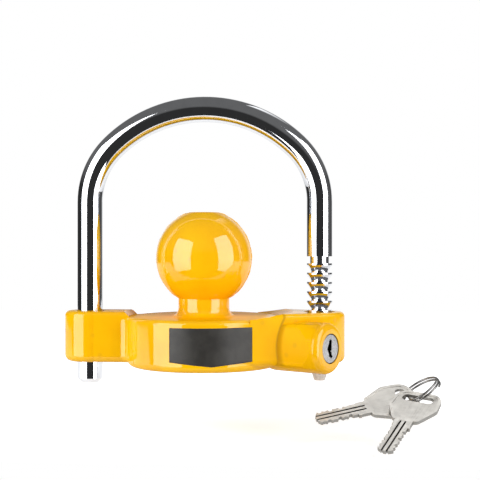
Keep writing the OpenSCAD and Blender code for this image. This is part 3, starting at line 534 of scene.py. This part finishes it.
def nickel_material(name, settings, turn, slot):
    """Satin plate with brushing along a key: the pattern is turned so that its Z runs with the blade.

    The key's own turns about X, Y and Z are given in degrees, with the middle of its slot. Shade is painted
    into the two grooves of the blade, the side walls are coloured darker, and the panel of the bow is a
    little
    darker: all three are told by the distance from the key's middle plane. The blade is worn dull toward its
    tip."""
    nickel = tuple(settings.nickel)
    material, n, shader, place = new_material(name)
    along = n.add("ShaderNodeMapping", {"Vector": place}, vector_type="TEXTURE")
    along.inputs["Rotation"].default_value = (
        Euler(np.radians(turn)).to_matrix() @ Euler((0.0, math.pi / 2, 0.0)).to_matrix()).to_euler()
    along.inputs["Location"].default_value = tuple(slot)
    local = n.add("ShaderNodeSeparateXYZ", {"Vector": along.outputs[0]}).outputs
    depth = n.math("ABSOLUTE", local["X"])
    panel = n.remap(depth, *PANEL_DEPTH, 1.0, 0.0)
    edge = n.remap(depth, *EDGE_DEPTH, 1.0, 0.0)
    # Painted shade: the blade's two grooves are coloured dark
    groove = n.math("MULTIPLY", n.remap(n.math("ABSOLUTE", local["Y"]), *GROOVE_HALF, 1.0, 0.0),
                    n.math("LESS_THAN", local["Z"], BLADE_START))
    groove = n.math("MULTIPLY", groove, n.math("GREATER_THAN", local["Z"], BLADE_END))
    groove = n.math("MULTIPLY", groove, n.remap(depth, *GROOVE_DEPTH, 1.0, 0.0))
    n.link(n.remap(local["Z"], *BLADE_DULL, 0.35, 0.94, True), shader.inputs["Metallic"])
    lines = use_group(n, scratch_group, along.outputs[0], Scale=2200.0, Stretch=0.03, Amount=0.8)
    grit = use_group(n, grain_group, place, Scale=700.0, Detail=3.0)
    wear = use_group(n, grain_group, place, Scale=110.0, Detail=2.0)
    shade = n.mix(wear.outputs["Mask"], nickel, darker(nickel, 0.84))
    shade = n.mix(n.math("MULTIPLY", lines.outputs["Mask"], 0.35), shade, darker(nickel, 0.6))
    shade = n.mix(n.math("MULTIPLY", panel, 0.12), shade, darker(nickel, 0.3))
    # The key's side walls are coloured darker
    shade = n.mix(n.math("MULTIPLY", edge, 0.6), shade, darker(nickel, 0.25))
    n.link(n.mix(groove, shade, GROOVE_SHADE_COLOUR), shader.inputs["Base Color"])
    gloss = n.remap(grit.outputs["Height"], 0.3, 0.8, 0.3, 0.44)
    n.link(n.math("MULTIPLY_ADD", lines.outputs["Mask"], 0.08, gloss), shader.inputs["Roughness"])
    add_bump(n, shader, lines.outputs["Mask"], 0.008 * MM, 0.4)
    add_bump(n, shader, grit.outputs["Height"], 0.03 * MM, 0.35)
    return material


def bare_metal_material(name, colour, roughness):
    """Plain drawn or stamped metal of the inner pieces: grit, faint draw lines and darker oil marks."""
    colour = tuple(colour)
    material, n, shader, place = new_material(name, Metallic=0.95)
    grit = use_group(n, grain_group, place, Scale=1300.0, Detail=3.0)
    oil = use_group(n, grain_group, place, Scale=260.0, Detail=2.0)
    lines = use_group(n, scratch_group, place, Scale=2600.0, Stretch=0.05, Amount=0.6)
    n.link(n.mix(oil.outputs["Mask"], colour, darker(colour, 0.62)), shader.inputs["Base Color"])
    n.link(n.remap(grit.outputs["Height"], 0.3, 0.8, roughness - 0.08, roughness + 0.1),
           shader.inputs["Roughness"])
    add_bump(n, shader, lines.outputs["Mask"], 0.01 * MM, 0.4)
    return material


def dark_material(name, colour, roughness, scale, height):
    """Black rubber or vinyl: fine grain, and a paler bloom in patches."""
    colour = tuple(colour)
    material, n, shader, place = new_material(name, IOR=1.5)
    grain = use_group(n, grain_group, place, Scale=scale, Detail=3.0)
    bloom = use_group(n, grain_group, place, Scale=130.0, Detail=2.0)
    pale = tuple(min(1.0, 1.5 * c + 0.004) for c in colour)
    n.link(n.mix(bloom.outputs["Mask"], colour, pale), shader.inputs["Base Color"])
    n.link(n.remap(grain.outputs["Height"], 0.3, 0.8, roughness - 0.06, roughness + 0.1),
           shader.inputs["Roughness"])
    add_bump(n, shader, grain.outputs["Height"], height, 0.5)
    return material


def dress(material, *names):
    """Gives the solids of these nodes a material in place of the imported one."""
    for name in names:
        mesh = NODES[name].data
        mesh.materials.clear()
        mesh.materials.append(material)


class COUPLER_OT_casting(bpy.types.Operator):
    """Coat the casting, and add the parting bead of its ball and the nib in its crease"""
    bl_idname = "coupler.casting"
    bl_label = "Casting"

    def execute(self, context):
        settings = context.scene.coupler_coat
        coat = coat_material(settings)
        dress(coat, "body_casting", "pawl_bore_plug")
        for side in (-1, 1):
            bead = tube(self.seam_path(side), self.seam_sections(settings.seam_height, side),
                        "ball_seam_" + ("left" if side < 0 else "right"), coat, np.array([0.0, 1.0, 0.0]))
            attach(bead, "base")
        path, sections = self.nib_shape()
        nib = tube(path, sections, "casting_nib", coat, np.array([0.0, 0.0, 1.0]))
        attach(nib, "base")
        return {"FINISHED"}

    @staticmethod
    def nib_shape():
        """Short straight path in the crease, with flat ellipses that swell as a half circle along it."""
        t = np.linspace(-1, 1, 25)
        path = NIB_CENTRE + t[:, None] * NIB_HALF
        swell = np.sqrt(np.clip(1 - t * t, 0.004, 1))[:, None, None]
        return path, ellipse(NIB_WIDTH, NIB_HEIGHT, 14)[None] * swell

    @staticmethod
    def seam_path(side):
        """Arc on the ball in the XZ plane, from the rim of its flat top to the neck."""
        first = math.asin(BALL_FLAT_R / BALL_R)
        last = math.pi - math.asin(NECK_R / BALL_R)
        a = np.linspace(first, last, 160)
        return np.stack([side * BALL_R * np.sin(a), 0 * a, BALL_R * np.cos(a)], -1)

    @staticmethod
    def seam_sections(height, side):
        """Flat lens across the seam, whose height wavers along it as a filed casting seam does."""
        s = np.linspace(0, 1, 160)
        waver = 0.72 + 0.2 * np.sin(37 * s + side) + 0.12 * np.sin(91 * s + 2 * side) + 0.1 * np.sin(233 * s)
        ends = np.clip(np.minimum(s, 1 - s) * 25, 0.05, 1)
        lens = ellipse(2.0, 2.0, 12)
        half = np.stack([waver * ends * height, 0.55 * MM * (0.6 + 0.4 * waver) * ends], -1)
        return lens[None] * half[:, None]


class COUPLER_OT_label(bpy.types.Operator):
    """Lay the bare dark label on the wall of the disc"""
    bl_idname = "coupler.label"
    bl_label = "Label"

    def execute(self, context):
        settings = context.scene.coupler_label
        vinyl = dark_material("Label vinyl", settings.colour, 0.42, 1800.0, 0.01 * MM)
        front, back = self.sheets(settings)
        rows, columns = front.shape[:2]
        faces = grid_faces(rows, columns, False)
        rim = np.concatenate([np.arange(columns), np.arange(1, rows) * columns + columns - 1,
                              (rows - 1) * columns + np.arange(columns - 2, -1, -1),
                              np.arange(rows - 2, 0, -1) * columns])
        after = np.roll(rim, -1)
        shift = rows * columns
        walls = np.stack([rim, after, after + shift, rim + shift], -1)
        label = add_piece("front_label", np.concatenate([front.reshape(-1, 3), back.reshape(-1, 3)]),
                          np.concatenate([faces, faces[:, ::-1] + shift, walls]).tolist(), vinyl)
        fix_outward(label)
        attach(label, "base")
        return {"FINISHED"}

    @staticmethod
    def sheets(settings):
        """Front and back of the label on a grid along the wall (s) and up it (v).

        The wall is the disc's cylinder as far as the wing's tangent, and the tangent plane after it. The
        lower edge hangs to a shallow point, and the front falls to the wall over the width of its rim."""
        s, v = np.meshgrid(np.linspace(settings.left, settings.right, 121), np.linspace(0, 1, 49))
        middle, half = (settings.left + settings.right) / 2, (settings.right - settings.left) / 2
        low = settings.bottom - settings.point * (1 - np.abs(s - middle) / half)
        z = low + (settings.top - low) * v
        a = np.minimum(s / DISC_R, WING_SLOPE)
        run = np.maximum(s - DISC_R * WING_SLOPE, 0)
        normal = np.stack([np.sin(a), -np.cos(a), 0 * a], -1)
        along = np.stack([np.cos(a), np.sin(a), 0 * a], -1)
        wall = DISC_R * normal + run[..., None] * along + np.stack([0 * z, 0 * z, z], -1)
        border = np.minimum(np.minimum(s - settings.left, settings.right - s),
                            np.minimum(z - low, settings.top - z))
        rim, sink, depth = 0.3 * MM, 0.03 * MM, 0.3 * MM
        rise = settings.thickness * np.sqrt(np.clip(border / rim, 0, 1)) - sink
        return wall + rise[..., None] * normal, wall - depth * normal


class COUPLER_OT_shackle(bpy.types.Operator):
    """Plate the shackle"""
    bl_idname = "coupler.shackle"
    bl_label = "Shackle"

    def execute(self, context):
        dress(chrome_material(context.scene.coupler_metal), "shackle")
        return {"FINISHED"}


class COUPLER_OT_cylinder(bpy.types.Operator):
    """Finish the lock cylinder and wind its springs"""
    bl_idname = "coupler.cylinder"
    bl_label = "Lock cylinder"

    def execute(self, context):
        metal = context.scene.coupler_metal
        dress(zinc_material(metal), "cylinder_sleeve", "lock_plug")
        dress(dark_material("Seal rubber", SEAL_COLOUR, 0.6, 1200.0, 0.02 * MM), "cylinder_seal")
        steel = bare_metal_material("Inner steel", metal.steel, 0.34)
        dress(bare_metal_material("Dark pin steel", PIN_COLOUR, 0.5), "cylinder_pin")
        dress(steel, "plug_cam", "cam_pin", "cam_clip", "locking_pawl")
        dress(bare_metal_material("Wafer brass", metal.brass, 0.3), *[f"wafer_{i}" for i in range(1, 7)])
        self.pawl_spring(steel)
        self.wafer_springs(steel)
        return {"FINISHED"}

    @staticmethod
    def pawl_spring(steel):
        """Six turns between the blind end of the pawl's bore and the pawl."""
        wire, fit, room, tail, back = 0.6 * MM, 0.06 * MM, 9.0 * MM, 6.0 * MM, 31.38 * MM
        path = helix(2.0 * MM, (room - wire - 2 * fit) / 6, 6, 48)
        path = turned(path, "y", 90) + np.array([-tail - room + wire / 2 + fit, 0, 0])
        path = turned(path, "y", -math.degrees(PAWL_TILT)) + np.array([0, 0, -back])
        axis = turned(np.array([[1.0, 0, 0]]), "y", -math.degrees(PAWL_TILT)) @ place_matrix().T
        spring = tube(lock_point(path), ellipse(wire, wire, 12)[None], "pawl_spring_coil", steel, axis[0])
        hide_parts("pawl_spring")
        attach(spring, "base")

    @staticmethod
    def wafer_springs(steel):
        """One small coil in the pocket under the ear of each wafer."""
        wire, fit, radius, turns = 0.3 * MM, 0.06 * MM, 0.45 * MM, 4
        pocket, ear, width, depth, step = 3.6 * MM, 0.8 * MM, 5.0 * MM, 4.0 * MM, 2.6 * MM
        coil = turned(helix(radius, (pocket - wire - 2 * fit) / turns, turns, 32), "x", -90)
        coil += np.array([width / 2 + radius + wire / 2 + fit, ear - pocket + wire / 2 + fit, 0])
        up = np.array([0.0, 0.0, 1.0])
        first = None
        for i in range(6):
            path = lock_point(coil - np.array([0, 0, depth + step * i]))
            spring = tube(path, ellipse(wire, wire, 10)[None], f"wafer_spring_coil_{i + 1}", steel, up)
            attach(spring, "plug")
            first = first or spring
        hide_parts("wafer_springs")


class COUPLER_OT_keys(bpy.types.Operator):
    """Plate the keys and wind their split ring"""
    bl_idname = "coupler.keys"
    bl_label = "Keys"

    def execute(self, context):
        metal, ring = context.scene.coupler_metal, context.scene.coupler_ring
        for node, (name, turn, slot) in KEYS.items():
            dress(nickel_material(name, metal, turn, slot), node)
        steel = bare_metal_material("Ring steel", RING_COLOUR, 0.22)
        path = helix(ring.radius, ring.pitch, ring.turns, 96) - np.array([0, 0, ring.pitch])
        axis = self.ring_turned(np.array([[0.0, 0, 1]]))[0]
        wire = ellipse(ring.wire, ring.wire, 16)[None]
        piece = tube(self.ring_turned(path) + RING_CENTRE, wire, "split_ring", steel, axis)
        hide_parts("key_ring")
        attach(piece, "key_ring")
        return {"FINISHED"}

    @staticmethod
    def ring_turned(points):
        """Points of a ring about +Z, turned as the ring lies in the keys' slots."""
        for axis, degrees in RING_TURNS:
            points = turned(points, axis, degrees)
        return points


class COUPLER_OT_stage(bpy.types.Operator):
    """Set the floor, the lamps, the surroundings and the camera"""
    bl_idname = "coupler.stage"
    bl_label = "Stage"

    def execute(self, context):
        scene, stage = context.scene, context.scene.coupler_stage
        scene.view_settings.view_transform = "Standard"
        self.floor()
        self.surroundings(scene)
        target = np.array(stage.target)
        self.softbox("softbox_left", target, azimuth=-49.0, elevation=5.5, size=(0.424, 0.637),
                     distance=0.5, level=stage.left_level)
        self.softbox("softbox_right", target, azimuth=60.0, elevation=9.5, size=(0.614, 1.28),
                     distance=0.8, level=stage.right_level)
        self.softbox("key_panel", KEYS_AIM, azimuth=174.0, elevation=62.0, size=(0.12, 0.15),
                     distance=0.25, level=stage.panel_level, spread=50.0)
        camera = bpy.data.cameras.new("camera")
        camera.lens = stage.lens
        camera.sensor_width = 36.0
        camera.clip_start = 0.01
        eye = bpy.data.objects.new("camera", camera)
        eye.location = stage.eye
        eye.rotation_euler = self.facing(target - np.array(stage.eye))
        scene.collection.objects.link(eye)
        scene.camera = eye
        return {"FINISHED"}

    @staticmethod
    def facing(direction):
        """Turn that points an object's -Z along a direction with its Y up."""
        return Vector(direction).to_track_quat("-Z", "Y").to_euler()

    def softbox(self, name, target, azimuth, elevation, size, distance, level, spread=180.0):
        """Rectangular lamp that faces the target from an azimuth round it (0 is the front) and an elevation.

        Its power is its brightness times pi times its area, and its light keeps within the spread."""
        azimuth, elevation = math.radians(azimuth), math.radians(elevation)
        lamp = bpy.data.lights.new(name, "AREA")
        lamp.shape = "RECTANGLE"
        lamp.size, lamp.size_y = size
        lamp.energy = level * math.pi * size[0] * size[1]
        lamp.spread = math.radians(spread)
        out = np.array([math.sin(azimuth) * math.cos(elevation), -math.cos(azimuth) * math.cos(elevation),
                        math.sin(elevation)])
        piece = bpy.data.objects.new(name, lamp)
        piece.visible_camera = False
        piece.location = target + out * distance
        piece.rotation_euler = self.facing(-out)
        bpy.context.scene.collection.objects.link(piece)

    @staticmethod
    def floor():
        """White floor that shows as the background; it glows less by the keys, where a faint shadow shows."""
        material = bpy.data.materials.new("Floor")
        material.use_nodes = True
        n = Nodes(material.node_tree)
        n.tree.nodes.clear()
        path = n.add("ShaderNodeLightPath")
        mirrored = n.math("MAXIMUM", path.outputs["Is Glossy Ray"], path.outputs["Is Transmission Ray"])
        seen = n.math("MAXIMUM", path.outputs["Is Camera Ray"], n.math("MULTIPLY", mirrored, FLOOR_MIRRORED))
        matte = n.add("ShaderNodeBsdfDiffuse", values={"Color": FLOOR_WHITE})
        spot = n.add("ShaderNodeTexCoord").outputs["Object"]
        away = n.add("ShaderNodeVectorMath", {0: spot}, operation="DISTANCE")
        away.inputs[1].default_value = SHADOW_SPOT
        level = n.remap(away.outputs["Value"], *SHADOW_FADE, 0.6, 1.0, True)
        white = n.add("ShaderNodeEmission", {"Strength": n.math("MULTIPLY", seen, level)},
                      {"Color": (1, 1, 1, 1)})
        both = n.add("ShaderNodeAddShader", {0: matte.outputs[0], 1: white.outputs[0]})
        n.add("ShaderNodeOutputMaterial", {"Surface": both.outputs[0]})
        left, right, front, back = -0.7, 0.8, -0.085, 0.9
        corners = np.array([[left, front, KEY_FLOOR], [right, front, KEY_FLOOR], [right, back, KEY_FLOOR],
                            [left, back, KEY_FLOOR]])
        add_piece("floor", corners, [[0, 1, 2, 3]], material, smooth=False)

    @staticmethod
    def surroundings(scene):
        """Dark room that is grey above and on the right and white behind; the camera sees white all round."""
        world = bpy.data.worlds.new("room")
        world.use_nodes = True
        n = Nodes(world.node_tree)
        n.tree.nodes.clear()
        way = n.add("ShaderNodeSeparateXYZ", {"Vector": n.add("ShaderNodeTexCoord").outputs["Generated"]})
        behind = n.remap(way.outputs["Y"], 0.72, 0.95, 0.03, 0.9, True)
        above = n.remap(way.outputs["Z"], 0.08, 0.45, 0.0, 0.14, True)
        right = n.remap(way.outputs["X"], 0.6, 0.95, 0.0, 0.1, True)
        room = n.math("MAXIMUM", behind, n.math("MAXIMUM", above, right))
        path = n.add("ShaderNodeLightPath")
        bright = n.math("MAXIMUM", room, path.outputs["Is Camera Ray"])
        light = n.add("ShaderNodeBackground", {"Strength": bright}, {"Color": (1, 1, 1, 1)})
        n.add("ShaderNodeOutputWorld", {"Surface": light.outputs[0]})
        scene.world = world


class COUPLER_PT_panel(bpy.types.Panel):
    """Sidebar list of the lock's pieces and their settings"""
    bl_idname = "COUPLER_PT_panel"
    bl_label = "Coupler lock"
    bl_space_type = "VIEW_3D"
    bl_region_type = "UI"
    bl_category = "Coupler lock"

    def draw(self, context):
        for operator in OPERATORS:
            self.layout.operator(operator.bl_idname)
        for name, kind in SETTINGS.items():
            box = self.layout.box()
            for key in kind.__annotations__:
                box.prop(getattr(context.scene, name), key)


SETTINGS = {
    "coupler_coat": CoatProperties,
    "coupler_label": LabelProperties,
    "coupler_metal": MetalProperties,
    "coupler_ring": RingProperties,
    "coupler_stage": StageProperties,
}
OPERATORS = [
    COUPLER_OT_casting,
    COUPLER_OT_label,
    COUPLER_OT_shackle,
    COUPLER_OT_cylinder,
    COUPLER_OT_keys,
    COUPLER_OT_stage,
]
CLASSES = [*SETTINGS.values(), *OPERATORS, COUPLER_PT_panel]


def register():
    for kind in CLASSES:
        bpy.utils.register_class(kind)
    for name, kind in SETTINGS.items():
        setattr(bpy.types.Scene, name, PointerProperty(type=kind))


def unregister():
    for name in SETTINGS:
        delattr(bpy.types.Scene, name)
    for kind in reversed(CLASSES):
        bpy.utils.unregister_class(kind)


def main():
    register()
    bpy.ops.coupler.casting()
    bpy.ops.coupler.label()
    bpy.ops.coupler.shackle()
    bpy.ops.coupler.cylinder()
    bpy.ops.coupler.keys()
    bpy.ops.coupler.stage()


if __name__ == "__main__":
    main()
